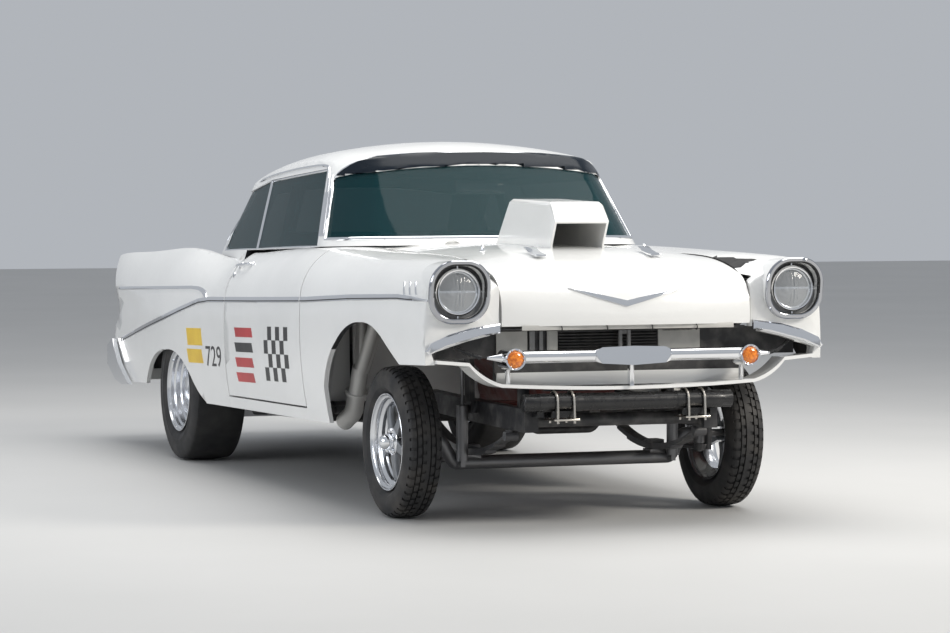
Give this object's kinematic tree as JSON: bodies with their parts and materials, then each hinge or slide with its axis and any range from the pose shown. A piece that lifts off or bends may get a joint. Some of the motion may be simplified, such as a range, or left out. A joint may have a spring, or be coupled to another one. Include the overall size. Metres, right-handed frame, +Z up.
{
  "type": "drag racing car",
  "caption": "Hardtop coupe drag car with a raised nose, hood scoop, side headers, wide rear slicks, steered front wheels and opening doors, hood and trunk lid.",
  "frame": {"origin": "on the floor, under the middle of the car's bounding box", "axes": "+Z up, -Y towards the front of the car, +X towards the car's left side"},
  "size_m": [1.88, 5.0711, 1.5899],
  "materials": {
    "body_paint": "gloss white",
    "glass": "blue-green tint",
    "chrome": "polished",
    "tyre": "matte",
    "front_rim": "satin cast spokes and polished rim",
    "rear_rim": "polished",
    "frame_paint": "satin black",
    "axle_steel": "bare",
    "engine": "painted",
    "radiator": "dark core",
    "header_steel": "pale coated",
    "interior": "black vinyl",
    "dash_paint": "satin",
    "cage_paint": "gloss black",
    "wheel_plastic": "moulded",
    "lamp_glass": "fluted clear",
    "tail_glass": "red lens",
    "tank_metal": "plain"
  },
  "bodies": {
    "body": {"fender_left": "body_paint", "fender_right": "body_paint", "roof": "body_paint", "windscreen": "glass", "rear_window": "glass", "quarter_windows": "glass", "cowl": "body_paint", "quarter_body": "body_paint", "front_pan": "body_paint", "grille_bar": "chrome", "radiator": "radiator", "headlamps": "lamp_glass", "rear_bumper": "chrome", "tail_lamps": "tail_glass", "floor_pan": "frame_paint", "inner_fenders": "frame_paint", "chassis_frame": "frame_paint", "rear_rails": "frame_paint", "front_crossbar": "axle_steel", "engine_block": "engine", "headers": "header_steel", "header_turnouts": "header_steel", "headlamp_rims": "chrome", "mouth_blades": "chrome", "trunk_floor": "frame_paint", "front_axle": "axle_steel", "front_suspension": "axle_steel", "rear_axle": "frame_paint", "rear_suspension": "axle_steel", "driveshaft": "axle_steel", "fuel_tank": "tank_metal", "dashboard": "dash_paint", "seats": "interior", "roll_cage": "cage_paint"},
    "door_left": {"door_left": "body_paint", "door_glass_left": "glass"},
    "door_right": {"door_right": "body_paint", "door_glass_right": "glass"},
    "hood": {"hood": "body_paint", "hood_scoop": "body_paint"},
    "trunk_lid": {"trunk_lid": "body_paint"},
    "knuckle_left": {"knuckle_left": "axle_steel"},
    "knuckle_right": {"knuckle_right": "axle_steel"},
    "tie_rod": {"tie_rod": "axle_steel"},
    "front_wheel_left": {"wheel_front_left": "front_rim", "tyre_front_left": "tyre"},
    "front_wheel_right": {"wheel_front_right": "front_rim", "tyre_front_right": "tyre"},
    "rear_wheel_left": {"wheel_rear_left": "rear_rim", "tyre_rear_left": "tyre"},
    "rear_wheel_right": {"wheel_rear_right": "rear_rim", "tyre_rear_right": "tyre"},
    "steering_wheel": {"steering_wheel": "wheel_plastic"}
  },
  "joints": [
    {"name": "door_left_hinge", "type": "hinge", "parent": "body", "child": "door_left", "pos_m": [0.902, -0.90152, 0.70468], "axis": [0, -0.0386, -0.9993], "range_deg": [0, 65]},
    {"name": "door_right_hinge", "type": "hinge", "parent": "body", "child": "door_right", "pos_m": [-0.902, -0.90152, 0.70468], "axis": [0, 0.0386, 0.9993], "range_deg": [0, 65]},
    {"name": "hood_hinge", "type": "hinge", "parent": "body", "child": "hood", "pos_m": [0, -1.14656, 1.09742], "axis": [-1, 0, 0], "range_deg": [0, 55]},
    {"name": "trunk_hinge", "type": "hinge", "parent": "body", "child": "trunk_lid", "pos_m": [0, 1.30976, 0.95459], "axis": [1, 0, 0], "range_deg": [0, 70]},
    {"name": "steer_left", "type": "hinge", "parent": "body", "child": "knuckle_left", "pos_m": [0.64, -1.7627, 0.32], "axis": [0, 0, 1], "range_deg": [-30, 30]},
    {"name": "steer_right", "type": "hinge", "parent": "body", "child": "knuckle_right", "pos_m": [-0.64, -1.7627, 0.32], "axis": [0, 0, 1], "range_deg": [-30, 30]},
    {"name": "tie_rod_eye", "type": "hinge", "parent": "knuckle_left", "child": "tie_rod", "pos_m": [0.6, -1.6127, 0.226], "axis": [0, 0, 1], "range_deg": [-30, 30]},
    {"name": "steering_column", "type": "hinge", "parent": "body", "child": "steering_wheel", "pos_m": [0.37, -0.40838, 1.03591], "axis": [0, 0.9559, 0.2937], "range_deg": [-360, 360]},
    {"name": "front_left_spin", "type": "hinge", "parent": "knuckle_left", "child": "front_wheel_left", "pos_m": [0.735, -1.7627, 0.32], "axis": [1, 0, 0], "continuous": true},
    {"name": "front_right_spin", "type": "hinge", "parent": "knuckle_right", "child": "front_wheel_right", "pos_m": [-0.735, -1.7627, 0.32], "axis": [1, 0, 0], "continuous": true},
    {"name": "rear_left_spin", "type": "hinge", "parent": "body", "child": "rear_wheel_left", "pos_m": [0.767, 1.1583, 0.35], "axis": [1, 0, 0], "continuous": true},
    {"name": "rear_right_spin", "type": "hinge", "parent": "body", "child": "rear_wheel_right", "pos_m": [-0.767, 1.1583, 0.35], "axis": [1, 0, 0], "continuous": true}
  ],
  "couplings": [
    {"joint": "steer_right", "follows": "steer_left", "ratio": 1},
    {"joint": "tie_rod_eye", "follows": "steer_left", "ratio": -1},
    {"joint": "steering_column", "follows": "steer_left", "ratio": -12}
  ]
}
